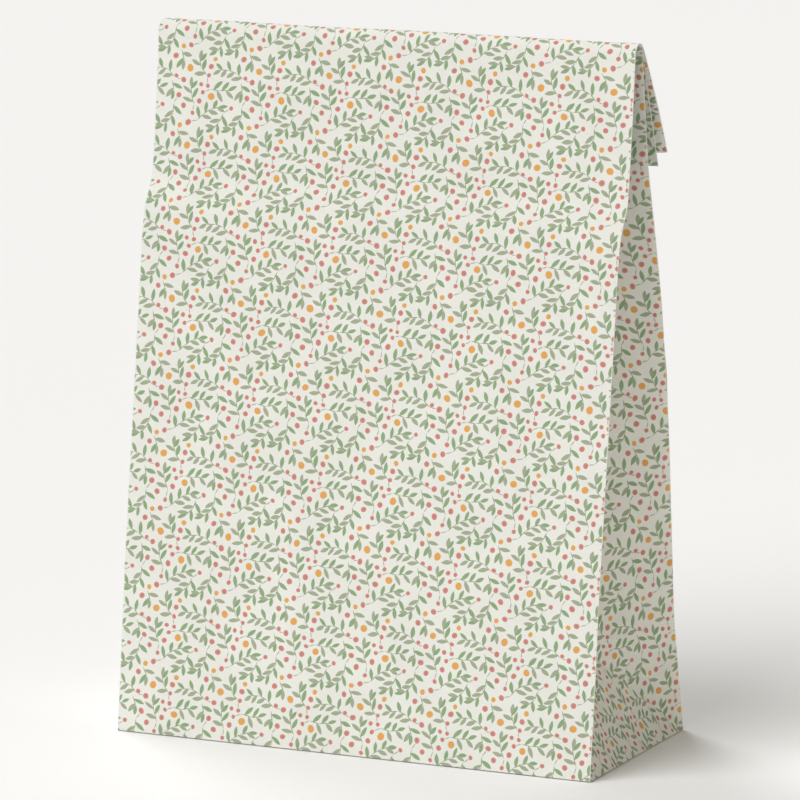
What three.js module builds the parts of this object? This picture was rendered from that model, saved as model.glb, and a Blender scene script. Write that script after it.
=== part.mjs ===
// A paper gift bag of the self-opening kind: a gusseted tube with a folded square bottom and its top
// folded over to the back. Millimetres, +Z up, origin at the middle of the underside. The front faces -Y.
//
// The bag is one printed sheet. Each panel between two creases is a mesh of its own, and a crease is the
// narrow clearance between two panels. The bag is drawn closed, as it stands with its top folded over.
import * as THREE from 'three';

// Driving dimensions
const WIDTH = 220;            // between the side creases
const DEPTH = 100;            // of the bottom, and of each gusset when it is flat
const PAPER = 0.3;            // thickness of a panel, about twice that of the real paper
const CLEAR = 0.35;           // clearance kept along a crease

const HALF_WIDTH = WIDTH / 2;
const HALF_DEPTH = DEPTH / 2;
const GUSSET_HALF = DEPTH / 2; // from a side crease to the gusset's middle crease

// Heights of the creases that run round the bag
const HEEL_CREASE = 50;       // the back's crease, where the bottom folds up for packing
const MIDDLE_CREASE = 157;    // the crease of the bag folded in two
const SHOULDER_LOW = 211;     // where the front begins to draw in to the pinched collar
const COLLAR_CREASE = 234;    // foot of the pinched collar
const COLLAR_TOP = 296.5;     // just under the top fold

// Side outlines, as [height, distance from the middle plane]
const FRONT_OUTLINE = [
  [0, -50], [35, -45.5], [70, -41.5], [105, -36.5], [157, -29],
  [211, -21.3], [223, -18.6], [234, -11.5], [266, -7], [300, -3.4],
];
const BACK_OUTLINE = [
  [0, 50], [50, 39.5], [95, 36], [129, 33.5], [157, 30],
  [190, 24.6], [220, 17.3], [248, 9.9], [300, 3],
];

// The flap that is folded over the top, as points [y, z] in the middle of the paper
const FRONT_FLAP = [[-2.6, 298.6], [0.6, 300.3], [4, 299.5], [30.5, 251.3]];
const BACK_FLAP = [[3.3, 297.2], [20.4, 246.6]];

// Apex of the gusset's bottom triangle: inward from the side, and above the floor
const APEX_IN = 24.6;
const APEX_UP = 43.5;

// The middle crease of each gusset is left open, so its two halves stop short of it
const GUSSET_USED = 0.78;
const FLAP_GUSSET_USED = 0.9;
const GUSSET_EDGE_GAP = 1.1;  // from a panel's middle to the gusset's edge inside it
const GUSSET_TOP = COLLAR_TOP - 3;
const LOWER_GUSSET_LIFT = 3;  // kept above the foot triangle's slanting side

// Where the sheets bend, as shares of their width and height
const UPPER_ACROSS = [0, 0.4, GUSSET_USED];
const LOWER_ACROSS = [0, 0.26, 0.52, GUSSET_USED];
const LOWER_RISE = [0, 0.12, 0.24, 0.36, 0.5, 0.75, 1];
const FOOT_RISE = [0.06, 0.5, 0.94];
const FLAP_ACROSS = [0, 0.45, FLAP_GUSSET_USED];
const FLAP_FALL = [0.17, 0.6, 0.985];

// A gusset half in the flap lies this share of the way to the flap's other layer, at its edge and beyond
const FLAP_GUSSET_DEPTH = 0.26;
const FLAP_GUSSET_SLOPE = 0.16;

// Bottom flaps, tucks and feet, and the clearances round them
const PANEL_FOOT = 0.4;       // height at which the front and the back begin
const BOTTOM_LAP = 14;        // how far each bottom flap passes the middle
const BOTTOM_SIDE_GAP = 1;
const BOTTOM_END_GAP = 0.8;
const TUCK_GAP = 2;
const FOOT_INSET = 1.2;

// The glued lap down the back
const LAP_HALF_WIDTH = 8;
const LAP_FOOT = 4;
const LAP_HEAD = COLLAR_TOP - 6;

const PAPER_COLOUR = 0xe9e4d8;
const INSIDE_COLOUR = 0xf1eee8;

const bag = new THREE.Group();

function paper(colour = PAPER_COLOUR) {
  return new THREE.MeshStandardMaterial({ color: colour, roughness: 0.85, metalness: 0 });
}

/** Distance from the middle plane at a height, along one of the side outlines. */
function outlineAt(outline, height) {
  const last = outline.length - 1;
  let k = 1;
  while (k < last && outline[k][0] < height) k += 1;
  const [z0, y0] = outline[k - 1];
  const [z1, y1] = outline[k];
  return y0 + ((y1 - y0) * (height - z0)) / (z1 - z0);
}

/** Heights at which a panel bends, between two heights and including both. */
function bends(outline, low, high) {
  const between = outline.map(([z]) => z).filter((z) => z > low + 1 && z < high - 1);
  return [low, ...between, high];
}

/** A closed sheet of paper from a grid of points in the middle of its thickness. */
function sheet(name, rows, colour) {
  const [height, width] = [rows.length, rows[0].length];
  const point = (i, j) => rows[Math.min(Math.max(i, 0), height - 1)][Math.min(Math.max(j, 0), width - 1)];
  const faces = [[], []];
  for (let i = 0; i < height; i += 1) {
    for (let j = 0; j < width; j += 1) {
      const along = point(i, j + 1).clone().sub(point(i, j - 1));
      const up = point(i + 1, j).clone().sub(point(i - 1, j));
      const normal = along.cross(up).normalize().multiplyScalar(PAPER / 2);
      faces[0].push(point(i, j).clone().add(normal));
      faces[1].push(point(i, j).clone().sub(normal));
    }
  }
  const back = height * width;
  const at = (i, j) => i * width + j;
  const index = [];
  const quad = (a, b, c, d) => index.push(a, b, c, a, c, d);
  for (let i = 0; i + 1 < height; i += 1) {
    for (let j = 0; j + 1 < width; j += 1) {
      const [a, b, c, d] = [at(i, j), at(i, j + 1), at(i + 1, j + 1), at(i + 1, j)];
      quad(a, b, c, d);
      // the other side is split along the same diagonal, so that a twisted sheet keeps its thickness
      quad(c + back, b + back, a + back, d + back);
    }
  }
  const rim = [];
  for (let j = 0; j + 1 < width; j += 1) rim.push(at(0, j));
  for (let i = 0; i + 1 < height; i += 1) rim.push(at(i, width - 1));
  for (let j = width - 1; j > 0; j -= 1) rim.push(at(height - 1, j));
  for (let i = height - 1; i > 0; i -= 1) rim.push(at(i, 0));
  rim.forEach((a, k) => {
    const b = rim[(k + 1) % rim.length];
    quad(a, a + back, b + back, b);
  });
  const geometry = new THREE.BufferGeometry();
  const positions = [...faces[0], ...faces[1]].flatMap((p) => [p.x, p.y, p.z]);
  geometry.setAttribute('position', new THREE.Float32BufferAttribute(positions, 3));
  geometry.setIndex(index);
  geometry.computeVertexNormals();
  addMesh(name, geometry, colour);
}

function addMesh(name, geometry, colour) {
  const mesh = new THREE.Mesh(geometry, paper(colour));
  mesh.name = name;
  bag.add(mesh);
  return mesh;
}

/** A flat slab lying on a bottom layer, from its outline in X and Y. */
function slab(name, outline, low, colour) {
  const shape = new THREE.Shape(outline.map(([x, y]) => new THREE.Vector2(x, y)));
  const geometry = new THREE.ExtrudeGeometry(shape, { depth: PAPER, bevelEnabled: false });
  const mesh = addMesh(name, geometry, colour);
  mesh.position.z = low;
}

/** A panel as wide as the bag that follows a side outline between two heights. */
function panel(name, outline, low, high, inward = 0, halfWidth = HALF_WIDTH, colour = PAPER_COLOUR) {
  const sign = Math.sign(outline[0][1]);
  const rows = bends(outline, low, high).map((z) => {
    const y = outlineAt(outline, z) - sign * inward;
    return [-halfWidth, 0, halfWidth].map((x) => new THREE.Vector3(x, y, z));
  });
  sheet(name, rows, colour);
}

/** Where a gusset half runs: from its side crease to its middle crease, at one height. */
function gussetLine(outline, side, z) {
  const sign = Math.sign(outline[0][1]);
  const gap = Math.min(Math.abs(outlineAt(outline, z)), Math.abs(outlineAt(outline, APEX_UP)));
  const reach = gap - GUSSET_EDGE_GAP;
  const inwards = Math.sqrt(GUSSET_HALF ** 2 - reach ** 2);
  const edge = new THREE.Vector3(
    side * (HALF_WIDTH - CLEAR), outlineAt(outline, z) - sign * GUSSET_EDGE_GAP, z);
  const crease = new THREE.Vector3(side * (HALF_WIDTH - inwards), edge.y - sign * reach, z);
  return [edge, crease];
}

/** One half of a gusset above the middle crease of the bag. */
function upperGusset(name, outline, side) {
  const rows = bends(outline, MIDDLE_CREASE + CLEAR, GUSSET_TOP).map((z) => {
    const [edge, crease] = gussetLine(outline, side, z);
    return UPPER_ACROSS.map((t) => edge.clone().lerp(crease, t));
  });
  sheet(name, rows);
}

/** One half of a gusset below that crease, cut off along the bottom triangle's side. */
function lowerGusset(name, outline, side) {
  const top = MIDDLE_CREASE - CLEAR;
  const rows = LOWER_RISE.map((v) => LOWER_ACROSS.map((t) => {
    const low = APEX_UP * t + LOWER_GUSSET_LIFT;
    const z = low + (top - low) * v;
    const [edge, crease] = gussetLine(outline, side, z);
    return edge.lerp(crease, t);
  }));
  sheet(name, rows);
}

/** The triangle at the foot of a gusset, which stands on the bottom's side crease and leans inwards. */
function footTriangle(name, side) {
  const rows = FOOT_RISE.map((v) => {
    const half = (HALF_DEPTH - FOOT_INSET) * (1 - v);
    const x = side * (HALF_WIDTH - APEX_IN * v);
    const z = APEX_UP * v;
    return [-half, 0, half].map((y) => new THREE.Vector3(x, y, z));
  });
  sheet(name, rows);
}

/** A layer of the folded flap, between its side creases. */
function flap(name, route) {
  sheet(name, route.map(([y, z]) => [-HALF_WIDTH, 0, HALF_WIDTH].map((x) => new THREE.Vector3(x, y, z))));
}

/** One half of a gusset inside the folded flap. */
function flapGusset(name, route, otherRoute, side) {
  const [root, tip] = route.slice(-2);
  const [otherRoot, otherTip] = otherRoute.slice(-2);
  const rows = FLAP_FALL.map((s) => {
    const here = new THREE.Vector2(...root).lerp(new THREE.Vector2(...tip), s);
    const there = new THREE.Vector2(...otherRoot).lerp(new THREE.Vector2(...otherTip), s);
    const gap = here.distanceTo(there);
    const inwards = Math.sqrt(GUSSET_HALF ** 2 - (gap / 2) ** 2);
    return FLAP_ACROSS.map((t) => {
      const middle = here.clone().lerp(there, FLAP_GUSSET_DEPTH + FLAP_GUSSET_SLOPE * t);
      return new THREE.Vector3(side * (HALF_WIDTH - CLEAR - inwards * t), middle.x, middle.y);
    });
  });
  sheet(name, rows);
}

// Bottom: two long flaps lapped over each other, on the tucked corners of the gussets
const bottomX = HALF_WIDTH - BOTTOM_SIDE_GAP;
const bottomY = HALF_DEPTH - BOTTOM_END_GAP;
slab('bottom_outer_flap',
  [[-bottomX, -BOTTOM_LAP], [bottomX, -BOTTOM_LAP], [bottomX, bottomY], [-bottomX, bottomY]], 0);
slab('bottom_inner_flap',
  [[-bottomX, -bottomY], [bottomX, -bottomY], [bottomX, BOTTOM_LAP], [-bottomX, BOTTOM_LAP]],
  PAPER + CLEAR, INSIDE_COLOUR);
for (const [where, side] of [['left', -1], ['right', 1]]) {
  const corner = side * bottomX;
  const tip = side * (bottomX - HALF_DEPTH + TUCK_GAP);
  const outline = [[corner, -bottomY + TUCK_GAP], [tip, 0], [corner, bottomY - TUCK_GAP]];
  slab(`bottom_tuck_${where}`, side > 0 ? outline.reverse() : outline, 2 * (PAPER + CLEAR), INSIDE_COLOUR);
}

// Front and back of the bag
panel('front_panel', FRONT_OUTLINE, PANEL_FOOT, SHOULDER_LOW - CLEAR);
panel('front_shoulder', FRONT_OUTLINE, SHOULDER_LOW, COLLAR_CREASE - CLEAR);
panel('front_collar', FRONT_OUTLINE, COLLAR_CREASE, COLLAR_TOP);
panel('back_heel', BACK_OUTLINE, PANEL_FOOT, HEEL_CREASE - CLEAR);
panel('back_panel_lower', BACK_OUTLINE, HEEL_CREASE, MIDDLE_CREASE - CLEAR);
panel('back_panel_upper', BACK_OUTLINE, MIDDLE_CREASE, COLLAR_TOP - 2);
panel('seam_lap', BACK_OUTLINE, LAP_FOOT, LAP_HEAD, PAPER + CLEAR, LAP_HALF_WIDTH, INSIDE_COLOUR);

// The folded flap
flap('front_flap', FRONT_FLAP);
flap('back_flap', BACK_FLAP);

// Gussets and their feet
for (const [where, side] of [['left', -1], ['right', 1]]) {
  footTriangle(`foot_${where}`, side);
  upperGusset(`front_gusset_upper_${where}`, FRONT_OUTLINE, side);
  lowerGusset(`front_gusset_lower_${where}`, FRONT_OUTLINE, side);
  upperGusset(`back_gusset_upper_${where}`, BACK_OUTLINE, side);
  lowerGusset(`back_gusset_lower_${where}`, BACK_OUTLINE, side);
  flapGusset(`front_flap_gusset_${where}`, FRONT_FLAP, BACK_FLAP, side);
  flapGusset(`back_flap_gusset_${where}`, BACK_FLAP, FRONT_FLAP, side);
}

export default bag;
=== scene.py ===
"""Paper sheets, print and studio for a folded gift bag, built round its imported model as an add-on."""

import math
import random

import bpy
import numpy as np
from mathutils import Matrix, Vector, noise


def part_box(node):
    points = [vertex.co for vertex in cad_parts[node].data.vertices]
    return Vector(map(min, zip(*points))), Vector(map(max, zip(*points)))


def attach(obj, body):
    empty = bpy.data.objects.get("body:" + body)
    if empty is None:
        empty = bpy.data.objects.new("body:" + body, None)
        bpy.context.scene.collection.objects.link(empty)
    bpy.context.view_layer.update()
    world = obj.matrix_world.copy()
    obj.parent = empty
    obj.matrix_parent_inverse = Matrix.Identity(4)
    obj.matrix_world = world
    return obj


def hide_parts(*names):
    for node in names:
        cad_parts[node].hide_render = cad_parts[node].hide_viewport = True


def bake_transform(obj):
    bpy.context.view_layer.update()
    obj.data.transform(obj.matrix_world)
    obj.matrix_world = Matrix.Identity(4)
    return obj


bl_info = {
    "name": "Folded Paper Gift Bag",
    "version": (1, 0, 0),
    "blender": (4, 5, 0),
    "location": "3D View > Sidebar > Gift Bag",
    "description": "Makes the creased paper sheets of a gusseted gift bag, its sprig print and a studio",
    "category": "Object",
}

MM = 0.001
SIDES = (("left", -1.0), ("right", 1.0))

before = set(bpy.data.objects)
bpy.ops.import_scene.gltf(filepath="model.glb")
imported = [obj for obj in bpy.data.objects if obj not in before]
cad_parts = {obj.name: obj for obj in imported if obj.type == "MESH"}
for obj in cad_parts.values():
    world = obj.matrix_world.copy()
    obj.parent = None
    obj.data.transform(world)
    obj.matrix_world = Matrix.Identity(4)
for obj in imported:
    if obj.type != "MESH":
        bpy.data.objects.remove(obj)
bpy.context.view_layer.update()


# Sizes, read from the frame where it has them

# A corner this near the side is on the edge, and a step this high parts two levels
EDGE_BAND = 0.1 * MM
LEVEL_GAP = 0.6 * MM


def cad_outline(*names):
    """Heights and depths along the middle of some stacked panels, read at their right-hand edge."""
    points = []
    for name in names:
        corners = np.array([v.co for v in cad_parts[name].data.vertices])
        edge = corners[corners[:, 0] > corners[:, 0].max() - EDGE_BAND]
        edge = edge[np.argsort(edge[:, 2])]
        breaks = np.where(np.diff(edge[:, 2]) > LEVEL_GAP)[0] + 1
        points += [(group[:, 2].mean(), group[:, 1].mean()) for group in np.split(edge, breaks)]
    heights, depths = np.array(sorted(points)).T
    return heights, depths


def smooth_run(values, window):
    """A run of values with its corners rounded over a window, and its two ends kept."""
    half = window // 2
    before = 2 * values[0] - values[half:0:-1]
    after = 2 * values[-1] - values[-2:-half - 2:-1]
    padded = np.concatenate([before, values, after])
    return np.convolve(padded, np.ones(2 * half + 1) / (2 * half + 1), mode="valid")


HALF_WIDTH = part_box("front_panel")[1].x
HALF_DEPTH = 50 * MM
GUSSET_HALF = 50 * MM
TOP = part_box("front_flap")[1].z
FLAP_TIP = (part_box("front_flap")[1].y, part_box("front_flap")[0].z)
INNER_TIP = (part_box("back_flap")[1].y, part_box("back_flap")[0].z)
INNER_ROOT = (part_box("back_flap")[0].y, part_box("back_flap")[1].z)
MIDDLE_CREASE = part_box("back_panel_lower")[1].z
HEEL_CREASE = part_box("back_heel")[1].z
GUSSET_TOP = TOP - 4 * MM
# The apex over a foot: how far in from the side and how high
APEX_IN = 24.6 * MM
APEX_UP = 43.5 * MM

# Depths of the front and the back, one for each step up; a crease is rounded over so many steps
STEP = 1 * MM
FRONT_ROUNDING = 6
BACK_ROUNDING = 10
LEVELS = np.arange(0, GUSSET_TOP + STEP, STEP)
FRONT_LINE = cad_outline("front_panel", "front_shoulder", "front_collar")
BACK_LINE = cad_outline("back_heel", "back_panel_lower", "back_panel_upper")
FRONT_Y = smooth_run(np.interp(LEVELS, *FRONT_LINE), FRONT_ROUNDING)
BACK_Y = smooth_run(np.interp(LEVELS, *BACK_LINE), BACK_ROUNDING)
FRONT_Y += -HALF_DEPTH - FRONT_Y[0]
BACK_Y += HALF_DEPTH - BACK_Y[0]


def front_y(z):
    return np.interp(z, LEVELS, FRONT_Y)


def back_y(z):
    return np.interp(z, LEVELS, BACK_Y)


# Colours and paper, as a user would change them

def srgb(red, green, blue):
    """A colour given in screen values, as the linear values that Blender mixes."""
    def linear(c):
        c /= 255
        return c / 12.92 if c <= 0.04045 else ((c + 0.055) / 1.055) ** 2.4
    return (linear(red), linear(green), linear(blue), 1.0)


def colour_setting(name, description, default):
    return bpy.props.FloatVectorProperty(
        name=name, description=description, default=default, size=4, min=0, max=1, subtype="COLOR")


class GiftBagPaper(bpy.types.PropertyGroup):
    thickness: bpy.props.FloatProperty(
        name="Paper thickness", description="How thick a sheet is", default=0.26 * MM,
        min=0.1 * MM, max=1 * MM, unit="LENGTH", precision=5)
    waviness: bpy.props.FloatProperty(
        name="Waviness", description="How far the paper swells and sinks between its creases",
        default=0.45 * MM, min=0, max=3 * MM, unit="LENGTH", precision=5)
    ground: colour_setting("Ground", "The unprinted paper", srgb(231, 231, 224))
    inside: colour_setting("Inside", "The plain side of the paper", srgb(238, 235, 228))


class GiftBagPrint(bpy.types.PropertyGroup):
    leaf: colour_setting("Leaf", "Most of the leaves", srgb(140, 166, 126))
    dusty_leaf: colour_setting("Dusty leaf", "The greyer leaves", srgb(160, 170, 143))
    stem: colour_setting("Stem", "Stalks", srgb(152, 164, 142))
    pink: colour_setting("Pink berry", "The coral berries", srgb(205, 136, 126))
    pink_heart: colour_setting("Berry heart", "Middle of a coral berry", srgb(184, 112, 102))
    orange: colour_setting("Orange berry", "The orange berries", srgb(224, 165, 88))
    tile_width: bpy.props.FloatProperty(
        name="Repeat width", description="Width of one repeat of the print", default=32.5 * MM,
        min=10 * MM, max=100 * MM, unit="LENGTH", precision=4)
    tile_height: bpy.props.FloatProperty(
        name="Repeat height", description="Height of one repeat of the print", default=33 * MM,
        min=10 * MM, max=100 * MM, unit="LENGTH", precision=4)


# The print: sprigs and berries laid out on one repeat, in millimetres

LEAF_SIZE = (5.0, 1.8)
STEM_WIDTH = 0.42
# A pair of leaves: the side each is on and its place along a piece of the stalk
LEAF_PAIR = ((1, 0.35), (-1, 0.8))
# A leaf's angle off the stalk, then how much smaller the angle, length and width get with each pair
LEAF_ANGLE = 54
ANGLE_FALL, LENGTH_FALL, WIDTH_FALL = 5, 0.09, 0.06
FIRST_LENGTH = 1.04
END_LEAF = (0.86, 0.9)
STALK_OVERLAP = 1.08
# The stem of a sprig's berry: its angle off the stalk's line, its length and its width, and then how far
# the berry's edge is from where the sprig starts
BERRY_STEM = (32, 3.2, STEM_WIDTH * 0.85)
BERRY_REACH = 3.1

PRINT_SEED = 8
SPRIG_TRIES = 900
BERRY_TRIES = 400
SPRIG_BEND = (12, 26)
# Clear rings round berries, and the patches that stand in for a leaf: place along it, share of its width
BERRY_MARGIN = 0.35
ORANGE_MARGIN = 1.3
LEAF_PATCHES = ((-0.3, 0.34), (0, 0.5), (0.3, 0.34))
# Each kind of sprig: how many are laid, how many pairs of leaves, the stalk's length, and its berry
SPRIG_KINDS = ((3, 3, 12.0, 2.4), (4, 2, 8.0, 1.9), (2, 1, 4.5, 0))
# Berries laid in the gaps: how many, the diameter, and which ink
LOOSE_BERRIES = (
    (1, 3.0, "orange"), (2, 2.4, "pink"), (1, 3.0, "orange"), (2, 2.4, "pink"), (2, 2.1, "orange"),
    (3, 1.9, "pink"),
)


def towards(x, y, angle, reach):
    """The point that lies a way off from another, at an angle in degrees."""
    return x + reach * math.cos(math.radians(angle)), y + reach * math.sin(math.radians(angle))


def stroke(x, y, angle, length, width):
    """A leaf or a piece of stem that starts at a point, as (centre x, centre y, angle, length, width)."""
    return (*towards(x, y, angle, length / 2), angle, length, width)


def sprig_shapes(x, y, angle, bend, pairs, stalk, berry):
    """Leaves, stems and berries of one sprig that grows from a point."""
    leaves, stems, berries = [], [], []
    start = (x, y, angle)
    piece = stalk / pairs
    for k in range(pairs):
        stems.append(stroke(x, y, angle, piece * STALK_OVERLAP, STEM_WIDTH))
        for side, along in LEAF_PAIR:
            foot = towards(x, y, angle, piece * along)
            spread = angle + side * (LEAF_ANGLE - ANGLE_FALL * k)
            length = LEAF_SIZE[0] * (FIRST_LENGTH - LENGTH_FALL * k)
            leaves.append(stroke(*foot, spread, length, LEAF_SIZE[1] * (1 - WIDTH_FALL * k)))
        x, y = towards(x, y, angle, piece)
        angle += bend
    leaves.append(stroke(x, y, angle, LEAF_SIZE[0] * END_LEAF[0], LEAF_SIZE[1] * END_LEAF[1]))
    if berry:
        turn, length, width = BERRY_STEM
        way = start[2] + 180 + math.copysign(turn, bend)
        stems.append(stroke(*start[:2], way, length, width))
        berries.append((*towards(*start[:2], way, BERRY_REACH + berry / 2), berry, "pink"))
    return leaves, stems, berries


def circles(leaves, berries):
    """Round patches that stand in for the shapes when they are kept clear of one another."""
    patches = [(x, y, diameter / 2 + BERRY_MARGIN) for x, y, diameter, _ in berries]
    for x, y, angle, length, width in leaves:
        for along, share in LEAF_PATCHES:
            patches.append((*towards(x, y, angle, length * along), width * share))
    return np.array(patches)


def least_gap(patches, others, tile):
    """The smallest gap between some patches and those already laid, across the repeat's edges too."""
    if not len(others):
        return tile[0] / 2
    apart = patches[:, None, :2] - others[None, :, :2]
    apart -= np.round(apart / np.array(tile)) * np.array(tile)
    return (np.hypot(*apart.T).T - patches[:, None, 2] - others[None, :, 2]).min()


def lay_print(tile):
    """Lays each sprig where it has the most room of many tries, then the berries in the widest gaps."""
    chance = random.Random(PRINT_SEED)
    laid = np.zeros((0, 3))
    leaves, stems, berries = [], [], []
    for count, pairs, stalk, berry in SPRIG_KINDS:
        for _ in range(count):
            best = None
            for _ in range(SPRIG_TRIES):
                spot = (chance.uniform(0, tile[0]), chance.uniform(0, tile[1]), chance.uniform(0, 360))
                bend = chance.choice((-1, 1)) * chance.uniform(*SPRIG_BEND)
                shapes = sprig_shapes(*spot, bend, pairs, stalk, berry)
                patches = circles(shapes[0], shapes[2])
                gap = least_gap(patches, laid, tile)
                if best is None or gap > best[0]:
                    best = (gap, shapes, patches)
            leaves += best[1][0]
            stems += best[1][1]
            berries += best[1][2]
            laid = np.concatenate([laid, best[2]])
    for count, diameter, ink in LOOSE_BERRIES:
        for _ in range(count):
            spots = [(chance.uniform(0, tile[0]), chance.uniform(0, tile[1])) for _ in range(BERRY_TRIES)]
            margin = ORANGE_MARGIN if ink == "orange" else 0
            patches = [np.array([(*spot, diameter / 2 + margin)]) for spot in spots]
            widest = int(np.argmax([least_gap(patch, laid, tile) for patch in patches]))
            berries.append((*spots[widest], diameter, ink))
            laid = np.concatenate([laid, patches[widest]])
    return leaves, stems, berries


class Tree:
    """Adds nodes to a node tree and joins each to what it is given."""

    def __init__(self, tree):
        self.tree = tree

    def add(self, kind, settings=(), inputs=(), output=0):
        node = self.tree.nodes.new(kind)
        for name, value in dict(settings).items():
            setattr(node, name, value)
        for key, value in dict(inputs).items():
            if isinstance(value, bpy.types.NodeSocket):
                self.tree.links.new(value, node.inputs[key])
            else:
                node.inputs[key].default_value = value
        return node.outputs[output]

    def maths(self, operation, *values):
        return self.add("ShaderNodeMath", {"operation": operation}, enumerate(values))

    def vector(self, operation, *values, output=0):
        return self.add("ShaderNodeVectorMath", {"operation": operation}, enumerate(values), output)

    def between(self, value, low, high, start=0.0, end=1.0):
        """Turns smoothly from start to end as value goes from low to high."""
        inputs = {0: value, 1: low, 2: high, 3: start, 4: end}
        return self.add("ShaderNodeMapRange", {"interpolation_type": "SMOOTHSTEP"}, inputs)

    def mix(self, share, under, over):
        inputs = {0: share, 6: under, 7: over}
        return self.add("ShaderNodeMix", {"data_type": "RGBA"}, inputs, output=2)

    def least(self, values):
        result = None
        for value in values:
            result = value if result is None else self.maths("MINIMUM", result, value)
        return result


# A leaf is where two equal circles overlap: it is 2 long and 2 * LENS_HALF wide before it is scaled
LENS_HALF = 0.32
LENS_RADIUS = (1 + LENS_HALF ** 2) / (2 * LENS_HALF)
LENS_OFFSET = LENS_RADIUS - LENS_HALF


def nearest_copy(tree, place, x, y, tile):
    """The place on the print, moved by whole repeats to be as near to a point as it can."""
    high = (x + tile[0] / 2, y + tile[1] / 2, 1)
    low = (x - tile[0] / 2, y - tile[1] / 2, -1)
    return tree.vector("WRAP", place, high, low)


def lens(tree, place, shape, tile):
    """How far a place is from a leaf's two circles: below LENS_RADIUS inside the leaf."""
    x, y, angle, length, width = shape
    inputs = {
        "Vector": nearest_copy(tree, place, x, y, tile), "Location": (x, y, 0),
        "Rotation": (0, 0, math.radians(angle)), "Scale": (length / 2, width / 2 / LENS_HALF, 1),
    }
    local = tree.add("ShaderNodeMapping", {"vector_type": "TEXTURE"}, inputs)
    return tree.vector("DISTANCE", tree.vector("ABSOLUTE", local), (0, -LENS_OFFSET, 0), output=1)


def dot(tree, place, shape, tile):
    """Distance from a berry's centre, over its radius."""
    x, y, diameter, _ = shape
    distance = tree.vector("DISTANCE", nearest_copy(tree, place, x, y, tile), (x, y, 0), output=1)
    return tree.maths("DIVIDE", distance, diameter / 2)


# The ink wanders off its layout: how wide the waves are, as a noise scale, and how far it goes
DRIFT_SCALE = 0.09
DRIFT = 1.5
# Softness of the edges of stems and leaves, and of a berry's edge, ring and heart as shares of its radius
STEM_EDGE, LEAF_EDGE = 0.05, 0.02
BERRY_EDGE = (0.94, 1.06)
PALE_RING = (1.15, 1.38)
HEART = (0.3, 0.5)
HEART_STRENGTH = 0.55


def print_group(settings):
    """Node group: a place on the sheet in metres gives the printed colour."""
    group = bpy.data.node_groups.new("sprig_print", "ShaderNodeTree")
    group.interface.new_socket("Place", in_out="INPUT", socket_type="NodeSocketVector")
    group.interface.new_socket("Ground", in_out="INPUT", socket_type="NodeSocketColor")
    group.interface.new_socket("Colour", in_out="OUTPUT", socket_type="NodeSocketColor")
    tree = Tree(group)
    start = group.nodes.new("NodeGroupInput")
    tile = (settings.tile_width / MM, settings.tile_height / MM)
    flat = tree.vector("MULTIPLY", start.outputs["Place"], (1 / MM, 1 / MM, 0))
    drift = tree.add("ShaderNodeTexNoise", {"noise_dimensions": "2D"},
                     {"Vector": flat, "Scale": DRIFT_SCALE, "Detail": 1.0}, output=1)
    drift = tree.vector("SUBTRACT", drift, (0.5, 0.5, 0.5))
    place = tree.vector("MULTIPLY_ADD", drift, (DRIFT, DRIFT, 0), flat)
    leaves, stems, berries = lay_print(tile)
    colour = start.outputs["Ground"]
    layers = (
        (stems, settings.stem, STEM_EDGE), (leaves[::2], settings.leaf, LEAF_EDGE),
        (leaves[1::2], settings.dusty_leaf, LEAF_EDGE),
    )
    for shapes, ink, edge in layers:
        nearest = tree.least(lens(tree, place, shape, tile) for shape in shapes)
        inside = tree.between(nearest, LENS_RADIUS - edge, LENS_RADIUS + edge, 1.0, 0.0)
        colour = tree.mix(inside, colour, tuple(ink))
    pink = tree.least(dot(tree, place, berry, tile) for berry in berries if berry[3] == "pink")
    orange = tree.least(dot(tree, place, berry, tile) for berry in berries if berry[3] == "orange")
    # a berry keeps a pale ring clear of the leaves round it
    ring = tree.between(tree.maths("MINIMUM", pink, orange), *PALE_RING, 1.0, 0.0)
    colour = tree.mix(ring, colour, start.outputs["Ground"])
    colour = tree.mix(tree.between(pink, *BERRY_EDGE, 1.0, 0.0), colour, tuple(settings.pink))
    colour = tree.mix(tree.between(pink, *HEART, HEART_STRENGTH, 0.0), colour, tuple(settings.pink_heart))
    colour = tree.mix(tree.between(orange, *BERRY_EDGE, 1.0, 0.0), colour, tuple(settings.orange))
    end = group.nodes.new("NodeGroupOutput")
    group.links.new(colour, end.inputs["Colour"])
    return group


# The paper's surface: its fibre and its cockling, as noise scales, and the span of each noise that shows
FIBRE_SCALE = 900.0
FIBRE_SPAN = (0.3, 0.7)
COCKLE_SCALE = 38.0
COCKLE_SPAN = (0.35, 0.65)
FIBRE_TINT = (0.62, 0.6, 0.55, 1)
FIBRE_SHARE = 0.06
MOTTLE = (0.975, 1.01)
ROUGHNESS = 0.72
SPECULAR = 0.28
COCKLE_HEIGHT, FIBRE_HEIGHT = 1.6, 0.12
BUMP_STRENGTH = 0.35
BUMP_DEPTH = 0.5 * MM
# Upright creases, by their distance from the front's middle on the flat sheet, and the worn line on them
CREASES = (HALF_WIDTH, HALF_WIDTH + GUSSET_HALF, HALF_WIDTH + 2 * GUSSET_HALF)
WEAR_BAND = (0.1 * MM, 0.55 * MM)
WEAR_SPAN = (0.35, 0.6)
WEAR_SHARE = (0.25, 0.75)


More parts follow.
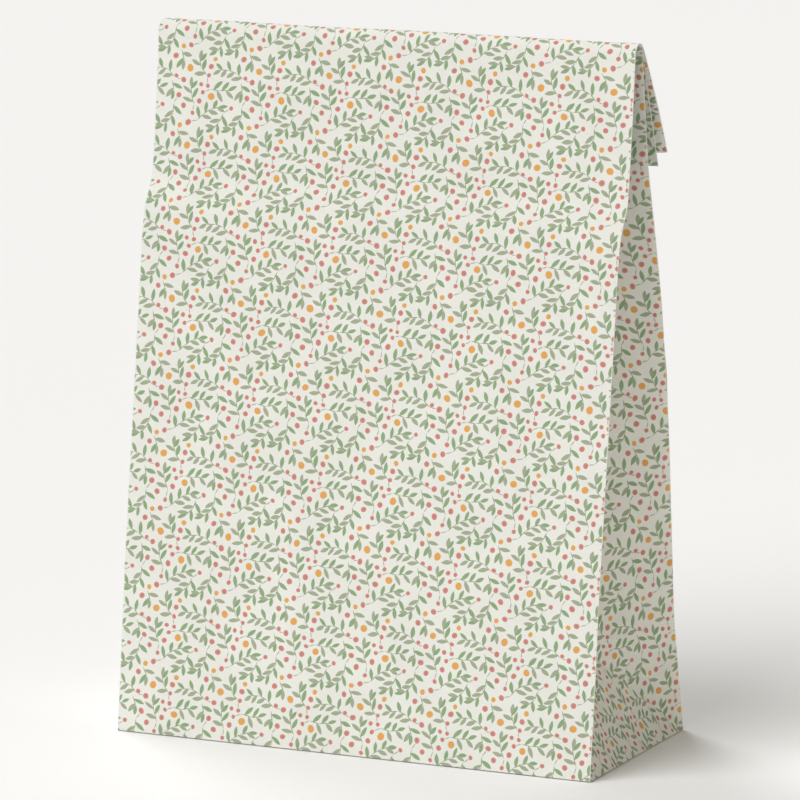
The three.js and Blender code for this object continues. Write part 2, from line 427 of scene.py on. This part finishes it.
def paper_material(name, ground, printed=None, place_from="UV"):
    """Uncoated paper: a soft fibre, faint cockling, and a print that wears white along the creases."""
    material = bpy.data.materials.new(name)
    material.use_nodes = True
    tree = Tree(material.node_tree)
    nodes = material.node_tree.nodes
    shader = nodes["Principled BSDF"]
    where = nodes.new("ShaderNodeTexCoord")
    solid = where.outputs["Object"]
    fibre = tree.add("ShaderNodeTexNoise", (), {"Vector": solid, "Scale": FIBRE_SCALE, "Detail": 4.0})
    cockle = tree.add("ShaderNodeTexNoise", (), {"Vector": solid, "Scale": COCKLE_SCALE, "Detail": 3.0})
    mottle = tree.between(cockle, *COCKLE_SPAN, *MOTTLE)
    base = tree.mix(tree.between(fibre, *FIBRE_SPAN, 0.0, FIBRE_SHARE), tuple(ground), FIBRE_TINT)
    if printed is not None:
        place = where.outputs[place_from]
        group = tree.add("ShaderNodeGroup", {"node_tree": printed}, {"Place": place, "Ground": base})
        across = tree.add("ShaderNodeSeparateXYZ", (), {0: place}, output=0)
        across = tree.maths("ABSOLUTE", across)
        crease = tree.least(tree.maths("ABSOLUTE", tree.maths("SUBTRACT", across, at)) for at in CREASES)
        wear = tree.maths("MULTIPLY", tree.between(crease, *WEAR_BAND, 1.0, 0.0),
                          tree.between(cockle, *WEAR_SPAN, *WEAR_SHARE))
        base = tree.mix(wear, group, tuple(ground))
    tinted = tree.vector("SCALE", base)
    material.node_tree.links.new(mottle, tinted.node.inputs["Scale"])
    material.node_tree.links.new(tinted, shader.inputs["Base Color"])
    shader.inputs["Roughness"].default_value = ROUGHNESS
    shader.inputs["Specular IOR Level"].default_value = SPECULAR
    height = tree.maths("MULTIPLY_ADD", cockle, COCKLE_HEIGHT, tree.maths("MULTIPLY", fibre, FIBRE_HEIGHT))
    bump = tree.add("ShaderNodeBump", (),
                    {"Height": height, "Strength": BUMP_STRENGTH, "Distance": BUMP_DEPTH})
    material.node_tree.links.new(bump, shader.inputs["Normal"])
    return material


# Making a sheet

# For each kind of sheet: the columns and rows of its grid, and the seed of its waves
SHEET_KINDS = {
    "front": (88, 190, 1), "back": (88, 150, 2), "seam_lap": (6, 110, 2), "inner_flap": (88, 30, 4),
    "upper_gusset": (40, 70, 5), "lower_gusset": (40, 70, 9), "foot": (40, 24, 13),
    "flap_gusset": (40, 26, 17),
}
# The waves: how a seed moves them, then the scale and the share of the broad ones and of the small ones
WAVE_SHIFT = (3.7, 1.3, 2.1)
WAVES = ((14, 1), (37, 0.35))
# How fast the waves rise from the sides and from the ends of a sheet, which stay where they are
SIDE_RISE, END_RISE = 14, 30
SMOOTH_ANGLE = math.radians(32)


def deselect():
    bpy.ops.object.select_all(action="DESELECT")


def swell(points, reach, seed):
    """A gentle rise and fall over a sheet, the same each time for a seed."""
    shift = Vector([seed * way for way in WAVE_SHIFT])
    return sum(
        np.array([noise.noise(Vector(p) * scale + shift) * reach * share for p in points])
        for scale, share in WAVES)


def read_vectors(items, name):
    """The vectors that a mesh holds under a name, as the rows of an array."""
    values = np.zeros(len(items) * 3)
    items.foreach_get(name, values)
    return values.reshape(-1, 3)


def ridge(z, at, height, reach):
    """A crease that stands out by a height and fades away over a reach on both sides."""
    return height * np.clip(1 - abs(z - at) / reach, 0, 1)


def paper_sheet(name, kind, place, flat_place, outward, seed_shift=0, hold_edges=True):
    """A creased sheet: a grid laid by place(a, b), a and b from 0 to 1, printed by flat_place(a, b)."""
    paper = bpy.context.scene.gift_bag_paper
    columns, rows, seed = SHEET_KINDS[kind]
    deselect()
    bpy.ops.mesh.primitive_grid_add(x_subdivisions=columns, y_subdivisions=rows, size=1)
    sheet = bpy.context.active_object
    sheet.name = name
    sheet.data.name = name
    mesh = sheet.data
    a, b = (read_vectors(mesh.vertices, "co")[:, :2] + 0.5).T
    points = place(a, b)
    mesh.vertices.foreach_set("co", points.ravel())
    mesh.update()
    normals = read_vectors(mesh.vertex_normals, "vector")
    if (normals @ np.array(outward)).mean() < 0:
        mesh.flip_normals()
        normals = -normals
    calm = np.minimum(1, SIDE_RISE * a * (1 - a)) if hold_edges else np.ones_like(a)
    calm = calm * np.minimum(1, END_RISE * b * (1 - b))
    points = points + normals * (swell(points, paper.waviness, seed + seed_shift) * calm)[:, None]
    mesh.vertices.foreach_set("co", points.ravel())
    print_map = mesh.uv_layers.active
    loops = np.zeros(len(mesh.loops), int)
    mesh.loops.foreach_get("vertex_index", loops)
    print_map.data.foreach_set("uv", np.stack(flat_place(a, b), 1)[loops].ravel())
    mesh.update()
    return finish_sheet(sheet)


def finish_sheet(sheet):
    """Gives a sheet its thickness, its printed and plain sides, and a soft shading."""
    paper = bpy.context.scene.gift_bag_paper
    sheet.data.materials.append(bpy.data.materials["printed_sheet"])
    sheet.data.materials.append(bpy.data.materials["plain_sheet"])
    thick = sheet.modifiers.new("thickness", "SOLIDIFY")
    thick.thickness = paper.thickness
    thick.offset = -1
    thick.material_offset = 1
    thick.material_offset_rim = 1
    bpy.ops.object.modifier_apply(modifier=thick.name)
    bpy.ops.object.shade_smooth_by_angle(angle=SMOOTH_ANGLE)
    return sheet


def run_length(route):
    """The length of a line up to each of its points."""
    steps = np.hypot(*np.diff(np.array(route), axis=0).T)
    return np.concatenate([[0], np.cumsum(steps)])


class Route:
    """A line in the side view, as points (y, z), read by the share of its length."""

    def __init__(self, points):
        self.points = np.array(points)
        self.lengths = run_length(self.points)
        self.length = self.lengths[-1]

    def at(self, share):
        along = share * self.length
        return tuple(np.interp(along, self.lengths, self.points[:, k]) for k in (0, 1))


# Round the fold at the top: how far back each point is, and how far below the top, in millimetres
FOLD_POINTS = ((-2.9, 2.2), (-1.6, 0.6), (0.6, 0.1), (2.8, 0.7), (4.6, 2.4))
# How far the hanging flap bows back and up at the middle of its length
FLAP_BOW = np.array([0.8, 0.5]) * MM
FLAP_POINTS = 30
INNER_POINTS = 20


def front_route():
    """Up the front, over the fold and down to the flap's edge."""
    rise = [(front_y(z), z) for z in np.arange(0, GUSSET_TOP, STEP)]
    tip = np.array(FLAP_TIP)
    over = [(back * MM, TOP - drop * MM) for back, drop in FOLD_POINTS]
    root = np.array(over[-1])
    hang = [tuple(root + (tip - root) * s + FLAP_BOW * math.sin(math.pi * s))
            for s in np.linspace(0, 1, FLAP_POINTS)[1:]]
    return Route(rise + over + hang)


def inner_flap_route():
    """Down the inner layer of the flap."""
    root, tip = np.array(INNER_ROOT), np.array(INNER_TIP)
    return Route([tuple(root + (tip - root) * s) for s in np.linspace(0, 1, INNER_POINTS)])


# Gaps between layers that lie on one another: at the side crease, and what is added a little way in
LAYER_GAP = 0.3 * MM
LAYER_RISE = 0.35 * MM
LAYER_RISE_WIDTH = 1.25 * MM
CORNER_LIFT = 1 * MM
LOWEST_CREASE = 0.5 * MM
# The cross creases of the bag folded flat still stand out: how far, and over what height up and down
MIDDLE_RIDGE = (1.5 * MM, 24 * MM)
HEEL_RIDGE = (-0.8 * MM, 16 * MM)
HEEL_RIDGE_UP = 4 * MM
RIDGE_BULGE = 0.7


def crease_line(z):
    """How far in and how deep a gusset's middle crease lies, level with a height on the side crease."""
    gap = (back_y(z) - front_y(z)) / 2
    inward = np.sqrt(np.maximum(GUSSET_HALF ** 2 - gap ** 2, 0))
    at_apex = (back_y(HEEL_CREASE) - front_y(HEEL_CREASE)) / 2
    excess = 1 - APEX_IN / math.sqrt(GUSSET_HALF ** 2 - at_apex ** 2)
    fade = np.clip((MIDDLE_CREASE - z) / (MIDDLE_CREASE - HEEL_CREASE), 0, 1)
    return inward * (1 - excess * fade), (back_y(z) + front_y(z)) / 2


def layer_offset(t):
    """How far a gusset lies behind the face it is folded against, from the side crease inwards."""
    return LAYER_GAP + LAYER_RISE * np.clip(t * GUSSET_HALF / LAYER_RISE_WIDTH, 0, 1)


def half_gusset(side, side_y, sign, t, z):
    """Points on half a gusset: t from 0 at the side crease to 1 at the middle one."""
    edge_x, edge_y = HALF_WIDTH, side_y(z)
    inward, middle_y = crease_line(np.maximum(z, HEEL_CREASE))
    drop = (HEEL_CREASE - APEX_UP) * np.clip((MIDDLE_CREASE - z) / (MIDDLE_CREASE - HEEL_CREASE), 0, 1)
    low = z < HEEL_CREASE
    share = np.maximum(z, LOWEST_CREASE) / HEEL_CREASE
    corner_y = side_y(np.zeros_like(z))
    to_apex_y = (corner_y * (1 - share) - edge_y) / share
    across_y = np.where(low, to_apex_y, middle_y - edge_y)
    across_x = np.where(low, APEX_IN, inward)
    across_z = np.where(low, APEX_UP - HEEL_CREASE, -drop)
    layer = layer_offset(t) * (1 - np.clip(t, 0, 1))
    middle = ridge(z, MIDDLE_CREASE, *MIDDLE_RIDGE)
    heel = ridge(z, HEEL_CREASE + HEEL_RIDGE_UP, *HEEL_RIDGE) * (sign > 0)
    stand = (middle + heel) * np.sin(math.pi * np.clip(t, 0, 1)) ** RIDGE_BULGE
    y = edge_y + across_y * t - sign * layer
    height = np.maximum(z + across_z * t, CORNER_LIFT)
    return np.stack([side * (edge_x - across_x * t + stand), y, height], 1)


# Operators, one for each group of like pieces

BOTTOM_PANELS = ("bottom_outer_flap", "bottom_inner_flap", "bottom_tuck_left", "bottom_tuck_right")


class GIFTBAG_OT_materials(bpy.types.Operator):
    """Make the printed and the plain paper, and give them to the bottom's own panels"""
    bl_idname = "giftbag.materials"
    bl_label = "Paper and Print"

    def execute(self, context):
        paper, ink = context.scene.gift_bag_paper, context.scene.gift_bag_print
        group = print_group(ink)
        paper_material("printed_sheet", paper.ground, group)
        plain = paper_material("plain_sheet", paper.inside)
        under = paper_material("printed_underside", paper.ground, group, "Object")
        for name in BOTTOM_PANELS:
            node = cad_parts[name]
            node.data.materials.clear()
            node.data.materials.append(plain if "tuck" in name else under)
        return {"FINISHED"}


class GIFTBAG_OT_front(bpy.types.Operator):
    """Make the front, its collar and the outer layer of the folded flap as one sheet"""
    bl_idname = "giftbag.front"
    bl_label = "Front and Outer Flap"

    def execute(self, context):
        route = front_route()

        def place(a, b):
            y, z = route.at(b)
            return np.stack([(2 * a - 1) * HALF_WIDTH, y, z], 1)

        def flat_place(a, b):
            return (2 * a - 1) * HALF_WIDTH, b * route.length

        sheet = paper_sheet("front_sheet", "front", place, flat_place, (0, -1, 0.3))
        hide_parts("front_panel", "front_shoulder", "front_collar", "front_flap")
        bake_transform(sheet)
        return {"FINISHED"}


# The back's lapped seam: its place across, and how far and over what width the upper layer steps out
SEAM_ACROSS = 9 * MM
SEAM_STEP = 0.25 * MM
SEAM_STEP_WIDTH = 1.2 * MM
SIDE_MARGIN = 2 * MM
BACK_RIDGE = (0.7 * MM, 12 * MM)
LAP_HALF_WIDTH = 8 * MM
LAP_FOOT = 4 * MM
LAP_SHORTER = 12 * MM
LAP_DEEPER = 0.5 * MM


class GIFTBAG_OT_back(bpy.types.Operator):
    """Make the back with its lapped seam, the seam's inner lap, and the inner layer of the flap"""
    bl_idname = "giftbag.back"
    bl_label = "Back and Inner Flap"

    def execute(self, context):
        top = INNER_ROOT[1]
        self.outer_sheet(top)
        self.seam_lap(top)
        self.inner_flap(top)
        return {"FINISHED"}

    def flat_across(self, a):
        """The back's place on the print, across, where it carries on from the gussets."""
        return 2 * (HALF_WIDTH + GUSSET_HALF) + (1 - 2 * a) * HALF_WIDTH

    def outer_sheet(self, top):
        def place(a, b):
            z = b * top
            x = (2 * a - 1) * HALF_WIDTH
            over = np.clip((x - SEAM_ACROSS) / SEAM_STEP_WIDTH, 0, 1) * (x < HALF_WIDTH - SIDE_MARGIN)
            y = back_y(z) + SEAM_STEP * over
            return np.stack([x, y + ridge(z, MIDDLE_CREASE, *BACK_RIDGE), z], 1)

        def flat_place(a, b):
            return self.flat_across(a), b * top

        sheet = paper_sheet("back_sheet", "back", place, flat_place, (0, 1, 0))
        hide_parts("back_heel", "back_panel_lower", "back_panel_upper")
        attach(sheet, "back")

    def seam_lap(self, top):
        def place(a, b):
            z = LAP_FOOT + b * (top - LAP_SHORTER)
            return np.stack([(2 * a - 1) * LAP_HALF_WIDTH, back_y(z) - LAP_DEEPER, z], 1)

        def flat_place(a, b):
            return a * 2 * LAP_HALF_WIDTH, b * top

        lap = paper_sheet("seam_lap_sheet", "seam_lap", place, flat_place, (0, 1, 0), hold_edges=False)
        lap.data.materials[0] = bpy.data.materials["plain_sheet"]
        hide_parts("seam_lap")
        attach(lap, "back")

    def inner_flap(self, top):
        route = inner_flap_route()

        def place(a, b):
            y, z = route.at(b)
            return np.stack([(2 * a - 1) * HALF_WIDTH, y, z], 1)

        def flat_place(a, b):
            return self.flat_across(a), top + b * route.length

        flap = paper_sheet("inner_flap_sheet", "inner_flap", place, flat_place, (0, -1, -0.3))
        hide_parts("back_flap")
        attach(flap, "back_flap")


# The two halves of a gusset: the panel each hangs from, that panel's depths, and the way it faces
HALVES = (("front", front_y, -1), ("back", back_y, 1))
UPPER_TOP = TOP - 3 * MM


class GIFTBAG_OT_gussets(bpy.types.Operator):
    """Make the halves of the two gussets, above and below the bag's middle crease"""
    bl_idname = "giftbag.gussets"
    bl_label = "Gussets"

    def execute(self, context):
        for where, side in SIDES:
            for half, side_y, sign in HALVES:
                self.upper(where, side, half, side_y, sign)
                self.lower(where, side, half, side_y, sign)
        return {"FINISHED"}

    def flat(self, side, sign, t, z):
        """A place on the print: the front halves carry on from the front, the back halves meet the back."""
        across = np.where(sign < 0, HALF_WIDTH + t * GUSSET_HALF, HALF_WIDTH + (2 - t) * GUSSET_HALF)
        return side * across, z

    def upper(self, where, side, half, side_y, sign):
        def level(b):
            return MIDDLE_CREASE + b * (UPPER_TOP - MIDDLE_CREASE)

        sheet = paper_sheet(
            f"{half}_gusset_upper_sheet_{where}", "upper_gusset",
            lambda a, b: half_gusset(side, side_y, sign, a, level(b)),
            lambda a, b: self.flat(side, sign, a, level(b)), (side * 0.5, -sign, 0), sign + side)
        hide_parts(f"{half}_gusset_upper_{where}")
        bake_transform(sheet)

    def lower(self, where, side, half, side_y, sign):
        def level(a, b):
            low = a * HEEL_CREASE
            return low + b * (MIDDLE_CREASE - low)

        sheet = paper_sheet(
            f"{half}_gusset_lower_sheet_{where}", "lower_gusset",
            lambda a, b: half_gusset(side, side_y, sign, a, level(a, b)),
            lambda a, b: self.flat(side, sign, a, level(a, b)), (side * 0.5, -sign, 0), sign + side)
        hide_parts(f"{half}_gusset_lower_{where}")
        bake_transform(sheet)


# A foot's dish: how deep it is, and how fast it sets in above the base, before it fades to the apex
FOOT_DISH = 0.8 * MM
FOOT_DISH_RISE = 4


class GIFTBAG_OT_feet(bpy.types.Operator):
    """Make the triangles at the foot of the gussets"""
    bl_idname = "giftbag.feet"
    bl_label = "Gusset Feet"

    def execute(self, context):
        for where, side in SIDES:
            def place(a, b):
                half = HALF_DEPTH * (1 - b)
                dish = FOOT_DISH * np.sin(math.pi * a) * (1 - b) * np.minimum(1, FOOT_DISH_RISE * b)
                x = side * (HALF_WIDTH - APEX_IN * b - dish)
                return np.stack([x, (2 * a - 1) * half, APEX_UP * b], 1)

            def flat_place(a, b):
                y = (2 * a - 1) * HALF_DEPTH * (1 - b)
                return side * (HALF_WIDTH + HALF_DEPTH + y), b * HEEL_CREASE

            sheet = paper_sheet(f"foot_sheet_{where}", "foot", place, flat_place, (side, 0, 0.4), side)
            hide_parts(f"foot_{where}")
            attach(sheet, f"foot_{where}")
        return {"FINISHED"}


# The flap's gussets: how much shorter their run along the outer layer is than the inner layer, where they
# start as a share of that run, and the shares of the gap that a half crosses and that it never passes
FLAP_ROOT_GAP = 3 * MM
FLAP_START = 0.02
FLAP_CROSSING = 0.46
FLAP_REACH = 0.47


class GIFTBAG_OT_flap_gussets(bpy.types.Operator):
    """Make the gusset halves that lie folded inside the flap"""
    bl_idname = "giftbag.flap_gussets"
    bl_label = "Flap Gussets"

    def execute(self, context):
        outer, inner = front_route(), inner_flap_route()
        outer_start = 1 - (inner.length - FLAP_ROOT_GAP) / outer.length
        for where, side in SIDES:
            for half, _, sign in HALVES:
                def place(a, b, side=side, sign=sign):
                    s = FLAP_START + (1 - FLAP_START) * b
                    outer_y, outer_z = outer.at(outer_start + (1 - outer_start) * s)
                    inner_y, inner_z = inner.at(s)
                    gap = np.hypot(inner_y - outer_y, inner_z - outer_z)
                    inward = np.sqrt(GUSSET_HALF ** 2 - (gap / 2) ** 2) * a
                    slack = np.maximum(FLAP_CROSSING * gap - layer_offset(1), 0)
                    share = np.minimum((layer_offset(a) + slack * a) / gap, FLAP_REACH)
                    share = share if sign < 0 else 1 - share
                    return np.stack([side * (HALF_WIDTH - inward), outer_y + (inner_y - outer_y) * share,
                                     outer_z + (inner_z - outer_z) * share], 1)

                def flat_place(a, b, side=side, sign=sign):
                    across = HALF_WIDTH + (a if sign < 0 else 2 - a) * GUSSET_HALF
                    return side * across, TOP + b * inner.length

                sheet = paper_sheet(f"{half}_flap_gusset_sheet_{where}", "flap_gusset", place, flat_place,
                                    (side * 0.1, 0.85 * sign, 0.5 * sign), sign + side)
                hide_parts(f"{half}_flap_gusset_{where}")
                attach(sheet, f"{half}_flap_gusset_{where}")
        return {"FINISHED"}


# Suns: the way each lies, its strength, and how wide it looks in degrees
SUNS = (("key_light", (-0.5, -0.87, 1.0), 2.3, 50), ("back_light", (-1.0, 0.7, 1.25), 1.1, 30))
ROOM_COLOUR = (1, 0.95, 0.85, 1)
ROOM_STRENGTH = 0.22
FLOOR_SIZE = 14
FLOOR_DROP = 0.4 * MM
FLOOR_COLOUR = (0.93, 0.93, 0.93, 1)
FLOOR_ROUGHNESS = 0.9
FILL_PLACE = (0.42, 0.02, 0.05)
FILL_AIM = (0.1, 0, 0.04)
FILL_SIZE = 0.16
FILL_POWER = 0.2
FILL_COLOUR = (1, 0.94, 0.82)
CAMERA_AZIMUTH, CAMERA_ELEVATION, CAMERA_ROLL = math.radians(25.3), math.radians(10.68), math.radians(-0.3)
CAMERA_DISTANCE = 2.517
CAMERA_TARGET = (0.0007, 0, 0.1432)
CAMERA_LENS = 268
CAMERA_SENSOR = 36
CAMERA_SEES_TO = 50


class GIFTBAG_OT_studio(bpy.types.Operator):
    """Make the pale floor, the soft lights and the camera"""
    bl_idname = "giftbag.studio"
    bl_label = "Studio"

    def execute(self, context):
        self.floor()
        for sun in SUNS:
            self.sun(*sun)
        self.low_fill()
        self.room(context)
        context.scene.view_settings.view_transform = "Standard"
        self.camera(context)
        return {"FINISHED"}

    def floor(self):
        deselect()
        bpy.ops.mesh.primitive_plane_add(size=FLOOR_SIZE, location=(0, 0, -FLOOR_DROP))
        floor = bpy.context.active_object
        floor.name = "floor"
        white = bpy.data.materials.new("pale_floor")
        white.use_nodes = True
        shader = white.node_tree.nodes["Principled BSDF"]
        shader.inputs["Base Color"].default_value = FLOOR_COLOUR
        shader.inputs["Roughness"].default_value = FLOOR_ROUGHNESS
        floor.data.materials.append(white)

    def room(self, context):
        world = bpy.data.worlds.new("pale_room")
        world.use_nodes = True
        background = world.node_tree.nodes["Background"]
        background.inputs["Color"].default_value = ROOM_COLOUR
        background.inputs["Strength"].default_value = ROOM_STRENGTH
        context.scene.world = world

    def sun(self, name, place, strength, spread):
        bpy.ops.object.light_add(type="SUN", location=place)
        lamp = bpy.context.active_object
        lamp.name = name
        lamp.data.energy = strength
        lamp.data.angle = math.radians(spread)
        lamp.rotation_euler = (-Vector(place)).to_track_quat("-Z", "Y").to_euler()

    def low_fill(self):
        """A soft lamp just above the floor on the right, as if the table gave light back to the gusset."""
        place = Vector(FILL_PLACE)
        bpy.ops.object.light_add(type="AREA", location=place)
        lamp = bpy.context.active_object
        lamp.name = "low_fill"
        lamp.data.size = FILL_SIZE
        lamp.data.energy = FILL_POWER
        lamp.data.color = FILL_COLOUR
        lamp.rotation_euler = (Vector(FILL_AIM) - place).to_track_quat("-Z", "Y").to_euler()

    def camera(self, context):
        level = math.cos(CAMERA_ELEVATION)
        back = Vector((math.sin(CAMERA_AZIMUTH) * level, -math.cos(CAMERA_AZIMUTH) * level,
                       math.sin(CAMERA_ELEVATION)))
        bpy.ops.object.camera_add()
        camera = bpy.context.active_object
        camera.data.sensor_width = CAMERA_SENSOR
        camera.data.lens = CAMERA_LENS
        camera.data.clip_end = CAMERA_SEES_TO
        turn = (-back).to_track_quat("-Z", "Y").to_matrix().to_4x4() @ Matrix.Rotation(CAMERA_ROLL, 4, "Z")
        place = Vector(CAMERA_TARGET) + back * CAMERA_DISTANCE
        camera.matrix_world = Matrix.Translation(place) @ turn
        context.scene.camera = camera


class GIFTBAG_PT_panel(bpy.types.Panel):
    """The bag's settings and the buttons that make it"""
    bl_idname = "GIFTBAG_PT_panel"
    bl_label = "Gift Bag"
    bl_space_type = "VIEW_3D"
    bl_region_type = "UI"
    bl_category = "Gift Bag"

    def draw(self, context):
        for group in (context.scene.gift_bag_paper, context.scene.gift_bag_print):
            for name in group.bl_rna.properties.keys():
                if name not in ("rna_type", "name"):
                    self.layout.prop(group, name)
        for operator in OPERATORS:
            self.layout.operator(operator.bl_idname)


OPERATORS = (
    GIFTBAG_OT_materials, GIFTBAG_OT_studio, GIFTBAG_OT_front, GIFTBAG_OT_back, GIFTBAG_OT_gussets,
    GIFTBAG_OT_feet, GIFTBAG_OT_flap_gussets,
)
CLASSES = (GiftBagPaper, GiftBagPrint, *OPERATORS, GIFTBAG_PT_panel)


def register():
    for item in CLASSES:
        bpy.utils.register_class(item)
    bpy.types.Scene.gift_bag_paper = bpy.props.PointerProperty(type=GiftBagPaper)
    bpy.types.Scene.gift_bag_print = bpy.props.PointerProperty(type=GiftBagPrint)


def unregister():
    del bpy.types.Scene.gift_bag_print
    del bpy.types.Scene.gift_bag_paper
    for item in reversed(CLASSES):
        bpy.utils.unregister_class(item)


def main():
    register()
    bpy.ops.giftbag.materials()
    bpy.ops.giftbag.studio()
    bpy.ops.giftbag.front()
    bpy.ops.giftbag.back()
    bpy.ops.giftbag.gussets()
    bpy.ops.giftbag.feet()
    bpy.ops.giftbag.flap_gussets()


if __name__ == "__main__":
    main()
